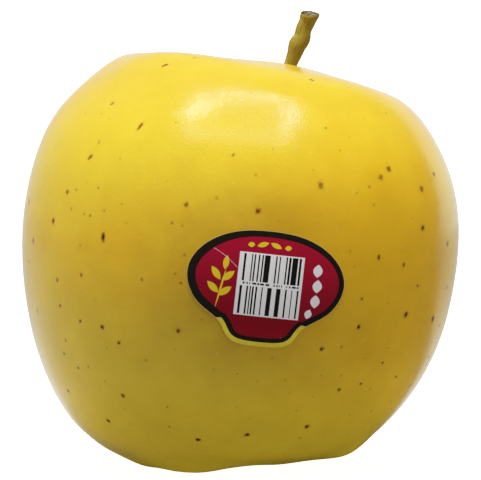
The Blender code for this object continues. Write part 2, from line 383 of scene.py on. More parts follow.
# Stem's and calyx's colours
BARK_LIGHT = (0.31, 0.235, 0.024, 1.0)
BARK_DARK = (0.12, 0.075, 0.008, 1.0)
BARK_RUSSET_AND_SHADE = (0.25, 0.170, 0.008, 1.0)
BARK_FOOT = (0.46, 0.37, 0.045, 1.0)
CUT_WOOD = (0.25, 0.205, 0.10, 1.0)
CUT_RIM = (0.045, 0.030, 0.010, 1.0)
SEPAL_BROWN = (0.16, 0.09, 0.04, 1.0)
SEPAL_GREY = (0.30, 0.22, 0.13, 1.0)

# Bark's fibres: how they are drawn out, their noise, then the edge, share and height of the dark ones
FIBRE_ROUND = 5.0
FIBRE_ALONG = 0.45
FIBRE_NOISE = (1.0, 4.0, 0.65)
FIBRE_EDGE = (0.5, 0.68)
FIBRE_SHARE = 0.7
FIBRE_HEIGHT = 0.12

# Bark's blotches, russet side, which is darker partly as painted shade, and paler foot, then its index,
# roughness and grain
BARK_BLOTCH_NOISE = (420.0, 3.0)
BARK_SHADE_BY_SIDE = 0.5
BARK_BY_BLOTCH = 0.9
BARK_RUSSET_EDGE = (0.1, 0.75)
BARK_FOOT_EDGE = (12.0, 17.0)
BARK_FOOT_SHARE = 0.5
BARK_IOR = 1.3
BARK_ROUGH = (0.5, 0.3)
BARK_GRAIN_NOISE = (3200.0, 3.0)
BARK_GRAIN_HEIGHT = 0.03

# Stem's cut end: its pattern, then where its rim ends and its face starts on the way to its middle
WOOD_NOISE = (2000.0, 3.0, 0.7)
WOOD_EDGE = (0.42, 0.54)
WOOD_RIM = (0.52, 0.62)
WOOD_START = (0.1, 0.5)

# Calyx's sepals, as in the solids, then their finer shape and mesh, and the threads between them
SEPALS = 5
SEPAL_SPREAD = 4.0
SEPAL_HEIGHT = 2.8
SEPAL_CURL = 1.3
SEPAL_WAVE = 0.25
SEPAL_START = 0.08
SEPAL_FOOT_DROP = 0.5
SEPAL_WIDTH = 2.3
SEPAL_TIP_WIDTH = 0.06
SEPAL_CUP = 0.35
SEPAL_CREASE = 0.25
SEPAL_SHEET = 0.3
SEPAL_ROWS = 22
SEPAL_COLUMNS = 12
STAMENS = 14
STAMEN_LENGTH = 2.6
STAMEN_RADIUS = 0.12
STAMEN_BEND = 0.35

# Sepals' surface: blotches, fine noise, where grey starts, tone, index, roughness and relief
SEPAL_BLOTCH_NOISE = (500.0, 4.0, 0.6)
SEPAL_FINE_NOISE = (2600.0, 3.0, 0.6)
SEPAL_GREY_EDGE = (0.4, 0.62)
SEPAL_TONE = (0.6, 0.8)
SEPAL_IOR = 1.4
SEPAL_ROUGH = (0.7, 0.25)
SEPAL_RELIEF = 0.1

# Fine bare skin that things are laid on: its rings and sides, and a start in front of it for lines of sight
TREE_RINGS = 260
TREE_SIDES = 420
IN_FRONT_Y = -100.0

# Paper sweep, in metres: its floor's reach, its curve, wall and width, then its glow and its surface
FLOOR_FRONT = 2.0
FLOOR_BACK = 0.6
SWEEP_RADIUS = 0.3
WALL_TOP = 1.6
SWEEP_HALF_WIDTH = 2.0
SWEEP_STEPS = 14
PAPER_GLOW = 1.3
PAPER_WHITE = (0.88, 0.88, 0.88, 1.0)
PAPER_WHITE_LIGHT = (0.92, 0.92, 0.92, 1.0)
PAPER_NOISE = (900.0, 3.0)
PAPER_ROUGH = (0.75, 0.1)
PAPER_IOR = 1.3
GLOW_WHITE = (1.0, 1.0, 1.0, 1.0)
NO_COLOUR = (0.0, 0.0, 0.0, 1.0)

# What the skin mirrors: a dome round the apple, in metres, and its glow by degrees from straight behind
DOME_RADIUS = 1.2
DOME_ELEVATIONS = (-8.0, 84.0)
DOME_RINGS = 24
DOME_SIDES = 144
DOME_GLOW = [(-180, 0.30), (-100, 0.30), (-60, 0.38), (-30, 0.66), (0, 0.85), (51, 1.15), (56, 0.06),
             (120, 0.06), (180, 0.30)]
DOME_TURN = [(-8, 0.0), (0, 0.0), (16, 6.0), (24, 12.5), (30, 17.0), (60, 22.0), (84, 22.0)]
DOME_DIM = (4.0, 40.0)
DOME_DIMMED = 0.45

# Floor that the skin mirrors, in metres: its drop, where it is dark as a painted shadow of the apple, bright
# and dimmed, and its glow
FLOOR_DROP = 0.0002
FLOOR_SHADOW = 0.026
FLOOR_BRIGHT = 0.056
FLOOR_DIM_AT = 0.30
FLOOR_DIM = 0.35
FLOOR_GLOW = [(-180, 0.3), (-120, 0.45), (-75, 0.75), (-45, 1.15), (0, 0.9), (53, 0.85), (60, 0.1),
              (120, 0.1), (180, 0.3)]

# Lights, in metres: the softbox's strips as two ends' x and y, width and radiance, and its weaker middle
BOX_HEIGHT = 0.7
BOX_STRIPS = [
    ((-0.235, -0.175), (-0.120, -0.115), 0.11, 15.0),
    ((-0.12, -0.122), (0.17, -0.075), 0.045, 14.0),
    ((0.215, -0.07), (0.250, -0.24), 0.07, 16.0),
    ((0.240, -0.24), (0.28, -0.40), 0.07, 8.0),
    ((-0.30, -0.39), (0.28, -0.39), 0.15, 3.4),
    ((-0.28, -0.42), (-0.22, -0.24), 0.09, 6.0),
]
BOX_MIDDLE = ((-0.24, -0.23), (0.19, -0.19), 0.17, 0.4)

# Broad light from above, which isn't mirrored: place, width and depth in metres, and radiance
OVERHEAD_AT = (-0.06, -0.28, 1.4)
OVERHEAD_SIZE = (0.9, 0.6)
OVERHEAD_RADIANCE = 21.5

# Room's brightness at heights on the unit sphere, -1 being straight down, and how much it gains to the back
ROOM = [(-1.0, 0.41), (0.0, 0.82), (0.5, 0.44), (1.0, 0.10)]
ROOM_BACK_GAIN = 0.58

# Film's curve: brightness shown for each brightness in the scene, which flattens towards white
FILM_CURVE = [(0.0, 0.0), (0.5, 0.5), (0.68, 0.64), (0.82, 0.73), (0.96, 0.82), (1.13, 0.905), (1.3, 0.96),
              (1.5, 1.0)]


def curve(points, at):
    """Natural cubic curve through the points, which it passes at 0, 1, 2 and so on."""
    p = np.array(points, float)
    rows = np.eye(len(p))
    right = np.zeros_like(p)
    for i in range(1, len(p) - 1):
        rows[i, i - 1 : i + 2] = (1.0, 4.0, 1.0)
        right[i] = 6.0 * (p[i - 1] - 2.0 * p[i] + p[i + 1])
    bend = np.linalg.solve(rows, right)
    k = np.clip(np.floor(at).astype(int), 0, len(p) - 2)
    u = (at - k)[..., None]
    v = 1.0 - u
    return v * p[k] + u * p[k + 1] + ((v**3 - v) * bend[k] + (u**3 - u) * bend[k + 1]) / 6.0


def profile(side, station):
    """Radius and height of one side, mirrored past both ends so that the skin crosses the axis level."""
    p = np.array(side, float)
    mirror = np.array([-1.0, 1.0])
    extra = 4
    p = np.vstack([p[extra:0:-1] * mirror, p, p[-2 : -extra - 2 : -1] * mirror])
    return curve(p, station + extra)


def bell(distance, spread):
    """Smooth hump, 1 in the middle."""
    return np.exp(-((distance / spread) ** 2))


def smooth_step(value, low, high):
    """0 below low, 1 above high and an even curve between; low may be the larger."""
    t = np.clip((value - low) / (high - low), 0.0, 1.0)
    return t * t * (3.0 - 2.0 * t)


def leaned(x, y, z):
    """Lean the core to the right, then back, and set its middle in place."""
    a = math.radians(CORE_LEAN_RIGHT)
    b = math.radians(CORE_LEAN_BACK)
    x, z = x * math.cos(a) + z * math.sin(a), -x * math.sin(a) + z * math.cos(a)
    y, z = y * math.cos(b) + z * math.sin(b), -y * math.sin(b) + z * math.cos(b)
    return np.stack([x, y, z], axis=-1) + CORE_AT


def skin(station, turn):
    """Points of the skin: station 0 is the pit's base and the last one the basin's, turn is in radians."""
    share = (1.0 + np.cos(turn))[..., None] / 2.0
    section = share * profile(RIGHT_SIDE, station) + (1.0 - share) * profile(LEFT_SIDE, station)
    across = section[..., 0]
    along = section[..., 1]
    reach = 0.0
    rib = 0.0
    for direction, size in LOBES:
        away = (turn - math.radians(direction) + math.pi) % (2.0 * math.pi) - math.pi
        lobe = bell(away, math.radians(LOBE_WIDTH))
        reach = reach + size * lobe
        rib = rib + lobe - 0.5
    crown = bell(station - CROWN_STATION, CROWN_SPREAD)
    shoulder = bell(station - SHOULDER_STATION, SHOULDER_SPREAD)
    belly = np.sin(math.pi * station / STATIONS) ** 2
    along = along - crown * reach + SHOULDER_RIB * shoulder * rib
    across = across * (1.0 + BELLY_RIB * belly * rib) + CROWN_RIB * crown * rib
    points = leaned(across * np.cos(turn), across * np.sin(turn), along)
    points[..., 2] = np.maximum(points[..., 2], 0.0)
    return points


def bands(rings, sides):
    """Quads between rings of vertices, each ring following the one before it."""
    faces = []
    for ring in range(rings - 1):
        for i in range(sides):
            j = (i + 1) % sides
            a = ring * sides
            faces.append((a + i, a + sides + i, a + sides + j, a + j))
    return faces


def add_object(name, points, faces, made):
    """Smooth-shaded mesh object from points in millimetres, riding on the one body."""
    mesh = bpy.data.meshes.new(name)
    mesh.from_pydata((np.array(points) * MM).tolist(), [], faces)
    for item in made:
        mesh.materials.append(item)
    mesh.shade_smooth()
    mesh.update()
    item = bpy.data.objects.new(name, mesh)
    bpy.context.scene.collection.objects.link(item)
    return item


def store(mesh, name, values):
    """Keep one number or vector for each vertex, for the mesh's material."""
    values = np.asarray(values, np.float32)
    kind, field = ("FLOAT", "value") if values.ndim == 1 else ("FLOAT_VECTOR", "vector")
    layer = mesh.attributes.new(name, kind, "POINT")
    layer.data.foreach_set(field, values.ravel())


def finish_piece(item, node):
    """Let a piece stand for its node."""
    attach(item, "root")
    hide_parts(node)


class Shade:
    """A material being made. Each method adds a node and returns the socket with its result."""

    def __init__(self, name):
        self.material = bpy.data.materials.new(name)
        self.material.use_nodes = True
        self.tree = self.material.node_tree
        self.shader = self.tree.nodes["Principled BSDF"]

    def plug(self, socket, value):
        if isinstance(value, bpy.types.NodeSocket):
            self.tree.links.new(value, socket)
        else:
            socket.default_value = value

    def set(self, **values):
        """Set or link the shader's own sockets, named with _ for each space."""
        for name, value in values.items():
            self.plug(self.shader.inputs[name.replace("_", " ")], value)

    def math(self, operation, *values, clamp=False):
        node = self.tree.nodes.new("ShaderNodeMath")
        node.operation = operation
        node.use_clamp = clamp
        for socket, value in zip(node.inputs, values):
            self.plug(socket, value)
        return node.outputs[0]

    def add(self, first, second, clamp=False):
        return self.math("ADD", first, second, clamp=clamp)

    def sub(self, first, second):
        return self.math("SUBTRACT", first, second)

    def mul(self, first, second):
        return self.math("MULTIPLY", first, second)

    def uneven(self, share, least, more):
        """The least where the share is 0, and more where it is higher."""
        return self.add(least, self.mul(share, more))

    def place(self):
        return self.tree.nodes.new("ShaderNodeTexCoord").outputs["Object"]

    def split(self, vector):
        node = self.tree.nodes.new("ShaderNodeSeparateXYZ")
        self.plug(node.inputs[0], vector)
        return node.outputs[:3]

    def number(self, name):
        node = self.tree.nodes.new("ShaderNodeAttribute")
        node.attribute_name = name
        return node.outputs["Fac"]

    def vector(self, name):
        node = self.tree.nodes.new("ShaderNodeAttribute")
        node.attribute_name = name
        return node.outputs["Vector"]

    def noise(self, vector, scale, detail=2.0, roughness=0.5):
        node = self.tree.nodes.new("ShaderNodeTexNoise")
        self.plug(node.inputs["Vector"], vector)
        node.inputs["Scale"].default_value = scale
        node.inputs["Detail"].default_value = detail
        node.inputs["Roughness"].default_value = roughness
        return node.outputs["Fac"]

    def cells(self, vector, scale):
        """Distance to the nearest of scattered points, in the size of one cell."""
        node = self.tree.nodes.new("ShaderNodeTexVoronoi")
        self.plug(node.inputs["Vector"], vector)
        node.inputs["Scale"].default_value = scale
        return node.outputs["Distance"]

    def step(self, value, low, high):
        """0 at low and 1 at high."""
        node = self.tree.nodes.new("ShaderNodeMapRange")
        node.interpolation_type = "SMOOTHSTEP"
        self.plug(node.inputs["Value"], value)
        node.inputs["From Min"].default_value = low
        node.inputs["From Max"].default_value = high
        return node.outputs["Result"]

    def fall(self, value, low, high):
        """1 at low and 0 at high."""
        return self.sub(1.0, self.step(value, low, high))

    def mix(self, factor, first, second):
        """Colour between two. The node's inputs 6 and 7 and its output 2 are those for colours."""
        node = self.tree.nodes.new("ShaderNodeMix")
        node.data_type = "RGBA"
        for index, value in ((0, factor), (6, first), (7, second)):
            self.plug(node.inputs[index], value)
        return node.outputs[2]

    def tint(self, colour, factor):
        """Colour times a grey factor."""
        node = self.tree.nodes.new("ShaderNodeVectorMath")
        node.operation = "SCALE"
        self.plug(node.inputs["Vector"], colour)
        self.plug(node.inputs["Scale"], factor)
        return node.outputs["Vector"]

    def bump(self, height, distance, normal=None):
        """Relief: a height of 1 stands the distance off the surface, or off the relief in the normal."""
        node = self.tree.nodes.new("ShaderNodeBump")
        node.inputs["Strength"].default_value = 1.0
        node.inputs["Distance"].default_value = distance * MM
        self.plug(node.inputs["Height"], height)
        if normal is not None:
            self.plug(node.inputs["Normal"], normal)
        return node.outputs["Normal"]


def photo_ray(across, down):
    """Start and direction of the camera's line of sight through a pixel of the photograph."""
    pitch = math.radians(CAMERA_PITCH)
    forward = Vector((0.0, math.cos(pitch), -math.sin(pitch)))
    upward = Vector((0.0, math.sin(pitch), math.cos(pitch)))
    start = Vector(CAMERA_TARGET) - forward * CAMERA_DISTANCE
    right = Vector((1.0, 0.0, 0.0)) * (across - PHOTO_WIDTH / 2.0) * MM_PER_PIXEL
    return start, forward * CAMERA_DISTANCE + right - upward * (down - PHOTO_HEIGHT / 2.0) * MM_PER_PIXEL


def skin_bmesh():
    """Quad mesh of the skin whose vertices keep their station and turn."""
    bm = bmesh.new()
    station_of = bm.verts.layers.float.new("station")
    cos_of = bm.verts.layers.float.new("turn_cos")
    sin_of = bm.verts.layers.float.new("turn_sin")
    stations = np.linspace(0.0, STATIONS, SKIN_RINGS + 1)
    turns = np.linspace(-math.pi, math.pi, SKIN_SIDES, endpoint=False)

    def vertex(station, turn, across):
        made = bm.verts.new((0.0, 0.0, 0.0))
        made[station_of] = station
        made[cos_of] = math.cos(turn) * across
        made[sin_of] = math.sin(turn) * across
        return made

    rings = [[vertex(s, a, 1.0) for a in turns] for s in stations[1:-1]]
    top = vertex(0.0, 0.0, 0.0)
    bottom = vertex(STATIONS, 0.0, 0.0)
    for i in range(SKIN_SIDES):
        j = (i + 1) % SKIN_SIDES
        bm.faces.new((top, rings[0][i], rings[0][j]))
        bm.faces.new((bottom, rings[-1][j], rings[-1][i]))
        for upper, lower in zip(rings, rings[1:]):
            bm.faces.new((upper[i], lower[i], lower[j], upper[j]))
    return bm


def skin_numbers(bm):
    """Station and direction of every vertex, as arrays."""
    layers = [bm.verts.layers.float[name] for name in ("station", "turn_cos", "turn_sin")]
    return np.array([[v[layer] for layer in layers] for v in bm.verts]).T


def settle(bm):
    """Put every vertex on the skin with its shallow waves and its swellings."""
    station, cos_turn, sin_turn = skin_numbers(bm)
    points = skin(station, np.arctan2(sin_turn, cos_turn))
    middle = np.array(CORE_AT)
    outward = points - middle
    outward /= np.linalg.norm(outward, axis=1)[:, None]
    wave = np.array([noise.noise(Vector(p) / WAVE_SIZE) for p in points])
    depth = WAVE_LEAST + (WAVE_MOST - WAVE_LEAST) * (0.5 - 0.5 * wave)
    points -= outward * (depth * smooth_step(points[:, 2], 0.0, WAVE_FULL_Z))[:, None]
    for spot, height, spread in SWELLS:
        away = np.linalg.norm(points - np.array(spot), axis=1)
        points += outward * (height * bell(away, spread))[:, None]
    points[:, 2] = np.maximum(points[:, 2], 0.0)
    for vertex, point in zip(bm.verts, points):
        vertex.co = point
    return points


def scattered_marks(tree, taken):
    """Lenticels spread over the whole skin, each as middle, direction, half length, half width and depth."""
    draw = random.Random(SEED)
    middle = Vector(CORE_AT)
    marks = []
    while len(marks) < LENTICELS:
        way = Vector((draw.gauss(0, 1), draw.gauss(0, 1), draw.gauss(0, 1))).normalized()
        size = draw.random()
        depth = MARK_DARKEST * draw.random() ** MARK_RARITY
        turn = draw.uniform(-math.pi, math.pi)
        if draw.random() < SPARSE_TOP * max(way.z, 0.0):
            continue
        hit, normal, _, _ = tree.ray_cast(middle, way)
        if any((hit - other).length < LENTICEL_GAP for other in taken):
            continue
        taken.append(hit)
        depth *= 1.0 if hit.y > FAINT_FRONT_Y else FAINT_SHARE
        radius = LENTICEL_SMALL + (LENTICEL_LARGE - LENTICEL_SMALL) * size**3
        along = normal.orthogonal().normalized()
        along.rotate(Matrix.Rotation(turn, 3, normal))
        marks.append((hit, normal, along, radius * LENTICEL_LONGER, radius, depth))
    return marks


def seen_marks(tree):
    """The marks that stand out in the photograph, laid on the skin where its pixels show them."""
    marks = []
    for across, down, length, width, turn, depth in MARKS:
        hit, normal, _, _ = tree.ray_cast(*photo_ray(across, down))
        right = Vector((1.0, 0.0, 0.0))
        along = (right - normal * right.dot(normal)).normalized()
        along.rotate(Matrix.Rotation(math.radians(turn), 3, normal))
        marks.append((hit, normal, along, length / 2.0, width / 2.0, depth))
    return marks


def refine(bm, marks):
    """Divide the mesh again round each mark."""
    tree = KDTree(len(marks))
    for i, mark in enumerate(marks):
        tree.insert(mark[0], i)
    tree.balance()
    for reach in REFINE_REACH:
        bm.verts.index_update()
        near = []
        for vertex in bm.verts:
            _, i, distance = tree.find(vertex.co)
            near.append(distance < reach * max(1.0, marks[i][3] / LENTICEL_LARGE))
        edges = [e for e in bm.edges if near[e.verts[0].index] or near[e.verts[1].index]]
        bmesh.ops.subdivide_edges(bm, edges=edges, cuts=1, use_grid_fill=True)
        settle(bm)
    bmesh.ops.triangulate(bm, faces=bm.faces)


def paint_marks(points, marks):
    """For each vertex, how strongly it lies in a mark, how strongly in its ring, and the mark's depth."""
    speck = np.zeros(len(points))
    ring = np.zeros(len(points))
    depths = np.zeros(len(points))
    for middle, normal, along, half_length, half_width, depth in marks:
        away = points - np.array(middle)
        near = np.flatnonzero(np.abs(away).max(axis=1) < MARK_REACH * half_length)
        away = away[near]
        side = np.array(normal.cross(along))
        ragged = np.array([noise.noise(Vector(p) / MARK_RAGGED_SIZE) for p in points[near]])
        reach = np.hypot(away @ np.array(along) / half_length, away @ side / half_width)
        reach = reach + MARK_RAGGED * ragged
        strength = min(1.0, MARK_PALEST + MARK_DEEPENING * depth)
        speck[near] = np.maximum(speck[near], smooth_step(reach, *MARK_CORE) * strength)
        ring[near] = np.maximum(ring[near], smooth_step(reach, *MARK_RING) * depth)
        depths[near] = np.where(reach < MARK_TONE_REACH, depth, depths[near])
    return {"speck": speck, "ring": ring, "depth": depths}


def build_skin(tree):
    """The fruit, its mesh divided finely round every mark."""
    marks = seen_marks(tree)
    marks += scattered_marks(tree, [mark[0] for mark in marks])
    bm = skin_bmesh()
    settle(bm)
    refine(bm, marks)
    points = settle(bm)
    station, cos_turn, sin_turn = skin_numbers(bm)
    painted = paint_marks(points, marks)
    faces = [[v.index for v in f.verts] for f in bm.faces]
    bm.free()
    item = add_object("skin_waxy", points, faces, [skin_material()])
    store(item.data, "station_along", station)
    store(item.data, "grain", np.stack([cos_turn, sin_turn, station], axis=1))
    for name, values in painted.items():
        store(item.data, name, values)
    finish_piece(item, "apple")


def golden_colour(s, x, z, cloud):
    """Lemon skin with its golden belt, and its crown darkened as painted shade that tones down the light from
    above.
    """
    off_height = s.math("ABSOLUTE", s.sub(z, BELT_HEIGHT * MM))
    belt = s.sub(s.mul(x, BELT_TO_RIGHT), s.mul(off_height, BELT_OFF_HEIGHT))
    belt = s.add(belt, s.mul(cloud, BELT_CLOUDS))
    belt = s.sub(belt, s.mul(s.step(x, BELT_END_X * MM, BELT_GONE_X * MM), BELT_LOSS))
    colour = s.mix(s.step(belt, *BELT_EDGE), LEMON, GOLDEN)
    # Painted shade: the crown turns a darker gold, toning down the light from above
    crown = s.step(z, CROWN_FROM * MM, CROWN_TO * MM)
    return s.mix(s.mul(crown, CROWN_SHARE), colour, CROWN_SHADE_GOLD)


def shaded_colour(s, colour, x, y, z, cloud, blotch):
    """Colour with painted shade on the front flank and the foot, and painted light on the lower rims."""
    # Painted shade: the front flank, low in the middle, is darkened
    off_middle = s.math("ABSOLUTE", s.sub(x, FLANK_X))
    flank = s.mul(s.fall(off_middle, *FLANK_SIDES), s.fall(y, *FLANK_BACK))
    edge = s.sub(z, s.mul(s.sub(blotch, 0.5), FLANK_TOP_MOTTLE))
    flank = s.mul(flank, s.mul(s.fall(edge, *FLANK_TOP), s.step(z, *FLANK_LOW)))
    colour = s.tint(colour, s.sub(1.0, s.mul(flank, s.mul(cloud, FLANK_SHADE))))
    wide = s.math("ABSOLUTE", x)
    # Painted shade: the skin darkens towards the floor, less so at the sides
    foot = s.mul(s.fall(z, 0.0, FOOT_TOP * MM), FOOT_SHADE)
    foot = s.mul(foot, s.fall(wide, FOOT_FULL_X * MM, FOOT_GONE_X * MM))
    colour = s.tint(colour, s.sub(1.0, foot))
    # Painted light: the lower rims at both sides are lightened
    rim = s.step(wide, RIM_FROM_X * MM, RIM_FULL_X * MM)
    rim = s.mul(rim, s.fall(z, RIM_FULL_Z * MM, RIM_TOP_Z * MM))
    return s.tint(colour, s.uneven(rim, 1.0, RIM_PAINTED_LIGHT))


def end_colours(s, colour, grain, streak):
    """Colour with the green of the pit and the basin and the russet round the stem."""
    station = s.number("station_along")
    pit = s.fall(s.uneven(streak, station, PIT_STREAKS), *PIT_EDGE)
    colour = s.mix(s.mul(pit, PIT_SHARE), colour, PIT_GREEN)
    russet = s.fall(s.uneven(s.noise(grain, *RUSSET_NOISE), station, RUSSET_STREAKS), *RUSSET_EDGE)
    colour = s.mix(s.mul(russet, RUSSET_SHARE), colour, RUSSET)
    basin = s.step(s.uneven(streak, station, BASIN_STREAKS), *BASIN_EDGE)
    return s.mix(s.mul(basin, BASIN_SHARE), colour, PIT_GREEN)


def mark_colours(s, colour, speck):
    """Colour with the marks and their rings: ochre where shallow, then rusty, then dark."""
    depth = s.number("depth")
    rusty = s.step(depth, *DEPTH_RUSTY)
    ring = s.mix(rusty, OCHRE_RING, RUSTY_RING)
    colour = s.mix(s.mul(s.number("ring"), RING_SHARE), colour, ring)
    mark = s.mix(rusty, OCHRE_MARK, RUSTY_MARK)
    return s.mix(speck, colour, s.mix(s.step(depth, *DEPTH_DARK), mark, DARK_MARK))


def skin_relief(s, place, speck):
    """Ripples, grain and flat flecks of the wax, and a hollow in each mark."""
    relief = s.bump(s.noise(place, *RIPPLE_NOISE), RIPPLE_HEIGHT)
    relief = s.bump(s.noise(place, 1.0 / (GRAIN_SIZE * MM), *GRAIN_NOISE), GRAIN_HEIGHT, relief)
    fleck = s.step(s.noise(place, 1.0 / (FLECK_SIZE * MM), *GRAIN_NOISE), *FLECK_EDGE)
    relief = s.bump(fleck, FLECK_HEIGHT, relief)
    return s.bump(s.sub(1.0, speck), MARK_HOLLOW, relief)


def skin_material():
    """Waxy yellow skin with blotches, streaks, pale dots, marks, green and russet ends, and a bloom."""
    s = Shade("skin_wax")
    place = s.place()
    x, y, z = s.split(place)
    grain = s.vector("grain")
    cloud = s.noise(place, *CLOUD_NOISE)
    streak = s.noise(grain, *STREAK_NOISE)
    blotch = s.noise(place, *BLOTCH_NOISE)
    light = s.uneven(blotch, LIGHT_LEAST, LIGHT_BY_BLOTCH)
    light = s.uneven(streak, light, LIGHT_BY_STREAK)
    light = s.uneven(s.noise(place, *MOTTLE_NOISE), light, LIGHT_BY_MOTTLE)
    colour = s.tint(golden_colour(s, x, z, cloud), light)
    colour = shaded_colour(s, colour, x, y, z, cloud, blotch)
    size = DOT_RADIUS / DOT_GAP
    dots = s.fall(s.cells(place, 1.0 / (DOT_GAP * MM)), DOT_CORE * size, size)
    colour = s.mix(s.mul(dots, s.mul(cloud, DOT_SHARE)), colour, PALE_DOT)
    colour = end_colours(s, colour, grain, streak)
    speck = s.number("speck")
    bloom = s.step(s.noise(place, *BLOOM_NOISE), *BLOOM_EDGE)
    rough = s.uneven(speck, s.uneven(bloom, WAX_ROUGH, BLOOM_ROUGH), MARK_ROUGH)
    s.set(Base_Color=mark_colours(s, colour, speck), Roughness=rough, IOR=SKIN_IOR)
    s.set(Normal=skin_relief(s, place, speck))
    return s.material


def outline_at(points, count):
    """Evenly numbered points along a closed curve through the mirrored half outline, anticlockwise."""
    half = points + [(-x, y) for x, y in points[-2:0:-1]]
    extra = 4
    closed = half[-extra:] + half + half[: extra + 1]
    return curve(closed, extra + np.arange(count) * len(half) / count)[::-1]


def inward(outline):
    """Unit vectors across a closed anticlockwise outline, towards its inside."""
    along = np.roll(outline, -1, axis=0) - np.roll(outline, 1, axis=0)
    along /= np.linalg.norm(along, axis=1)[:, None]
    return np.stack([-along[:, 1], along[:, 0]], axis=1)


def label_tree():
    """Fine patch of the skin under the label."""
    station = np.linspace(*PATCH_STATIONS, PATCH_STEPS)
    turn = np.radians(np.linspace(*PATCH_TURNS, PATCH_STEPS))
    points = skin(*np.meshgrid(station, turn, indexing="ij")).reshape(-1, 3)
    faces = []
    for row in range(PATCH_STEPS - 1):
        for a in range(row * PATCH_STEPS, (row + 1) * PATCH_STEPS - 1):
            faces.append((a, a + PATCH_STEPS, a + PATCH_STEPS + 1, a + 1))
    return BVHTree.FromPolygons([Vector(p) for p in points], faces)


def label_lift(across, up):
    """How far the film stands off the skin: its tab has come a little loose at the bottom edge."""
    loose = smooth_step(up, *TAB_LOOSE) * TAB_LIFT
    wrinkle = noise.noise(Vector((across, up, 0.0)) / FILM_WRINKLE_SIZE) * FILM_WRINKLE
    return FILM_GAP + FILM_WRINKLE + loose + wrinkle


def label_point(tree, across, up, depth):
    """Point of the film above the skin, from the label's own coordinates."""
    turn = math.radians(LABEL_TURN)
    x = LABEL_X + across * math.cos(turn) + up * math.sin(turn)
    z = LABEL_Z - across * math.sin(turn) + up * math.cos(turn)
    hit, normal, _, _ = tree.ray_cast(Vector((x, IN_FRONT_Y, z)), Vector((0.0, 1.0, 0.0)))
    return hit + normal * (label_lift(across, up) + depth)


def build_label():
    """Printed film: a closed thin sheet whose border and yellow lip are bands of their own."""
    tree = label_tree()
    outer = outline_at(LABEL_HALF, LABEL_SIDES)
    across, up = outer.T
    tab = smooth_step(up, *TAB_LIP_RAMP)
    edge = CUT_EDGE + (LIP_WIDTH - CUT_EDGE) * tab
    border = BORDER_TOP + BORDER_LEFT_MORE * smooth_step(-across, *BORDER_LEFT_RAMP)
    border = border - BORDER_RIGHT_LESS * smooth_step(across, *BORDER_RIGHT_RAMP) - BORDER_TAB_LESS * tab
    inner = inward(outer)
    border_outer = outer + inner * edge[:, None]
    field = border_outer + inner * border[:, None]
    middle = np.array(LABEL_CENTRE)
    top = [middle + (field - middle) * k / LABEL_FIELD_RINGS for k in range(1, LABEL_FIELD_RINGS + 1)]
    for start, end in ((field, border_outer), (border_outer, outer)):
        top += [start + (end - start) * k / LABEL_EDGE_RINGS for k in range(1, LABEL_EDGE_RINGS + 1)]
    under = [middle + (outer - middle) * k / LABEL_FIELD_RINGS for k in range(LABEL_FIELD_RINGS, 0, -1)]
    flat = [tuple(middle)]
    points = [label_point(tree, *middle, FILM_THICKNESS)]
    for ring in top:
        flat += [tuple(p) for p in ring]
        points += [label_point(tree, *p, FILM_THICKNESS) for p in ring]
    for ring in under:
        flat += [tuple(p) for p in ring]
        points += [label_point(tree, *p, 0.0) for p in ring]
    flat.append(tuple(middle))
    points.append(label_point(tree, *middle, 0.0))
    count = len(top) + len(under)
    faces = [(0, 1 + i, 1 + (i + 1) % LABEL_SIDES) for i in range(LABEL_SIDES)]
    zones = [0] * LABEL_SIDES
    for ring, face in enumerate(bands(count, LABEL_SIDES)):
        faces.append(tuple(1 + k for k in face))
        at = ring // LABEL_SIDES
        inside_field = at < LABEL_FIELD_RINGS - 1
        inside_border = at < LABEL_FIELD_RINGS + LABEL_EDGE_RINGS - 1
        zones.append(0 if inside_field else 1 if inside_border else 2)
    last = 1 + (count - 1) * LABEL_SIDES
    for i in range(LABEL_SIDES):
        faces.append((last + (i + 1) % LABEL_SIDES, last + i, len(points) - 1))
        zones.append(2)
    item = add_object("label_film", points, faces, [print_material(), border_material(), lip_material()])
    item.data.polygons.foreach_set("material_index", zones)
    store(item.data, "print", np.hstack([np.array(flat), np.zeros((len(flat), 1))]))
    item.data.set_sharp_from_angle(angle=math.radians(LABEL_SHARP))
    finish_piece(item, "sticker")


def box_mask(s, u, v, left, right, low, high):
    """1 inside a rectangle of the print."""
    masks = []
    for at, start, end in ((u, left, right), (v, low, high)):
        inside = s.step(at, start - INK_EDGE, start + INK_EDGE)
        masks.append(s.mul(inside, s.fall(at, end - INK_EDGE, end + INK_EDGE)))
    return s.mul(*masks)


def turned(s, u, v, across, up, turn):
    """Coordinates about a point of the print, turned."""
    a = math.radians(turn)
    du = s.sub(u, across)
    dv = s.sub(v, up)
    along = s.add(s.mul(du, math.cos(a)), s.mul(dv, math.sin(a)))
    aside = s.sub(s.mul(dv, math.cos(a)), s.mul(du, math.sin(a)))
    return along, aside


def leaf_mask(s, u, v, across, up, turn, length, width):
    """1 inside a pointed leaf: its half width falls off as a parabola along its length."""
    along, aside = turned(s, u, v, across, up, turn)
    share = s.math("DIVIDE", along, length / 2.0)
    room = s.mul(s.sub(1.0, s.math("POWER", share, 2.0)), width / 2.0)
    return s.step(s.sub(room, s.math("ABSOLUTE", aside)), -INK_EDGE, INK_EDGE)


def bars(s, along, count, seed):
    """Uneven upright bars: a stepped ramp of random widths."""
    draw = random.Random(seed)
    node = s.tree.nodes.new("ShaderNodeValToRGB")
    node.color_ramp.interpolation = "CONSTANT"
    s.plug(node.inputs["Fac"], along)
    widths = [draw.choice(BAR_WIDTHS) for _ in range(2 * count + 1)]
    total = sum(widths)
    edge = 0.0
    ramp = node.color_ramp.elements
    for k, width in enumerate(widths):
        stop = ramp[k] if k < 1 else ramp[1] if k == 1 else ramp.new(edge / total)
        stop.position = edge / total
        stop.color = (k % 2, k % 2, k % 2, 1.0)
        edge += width
    return node.outputs["Color"]


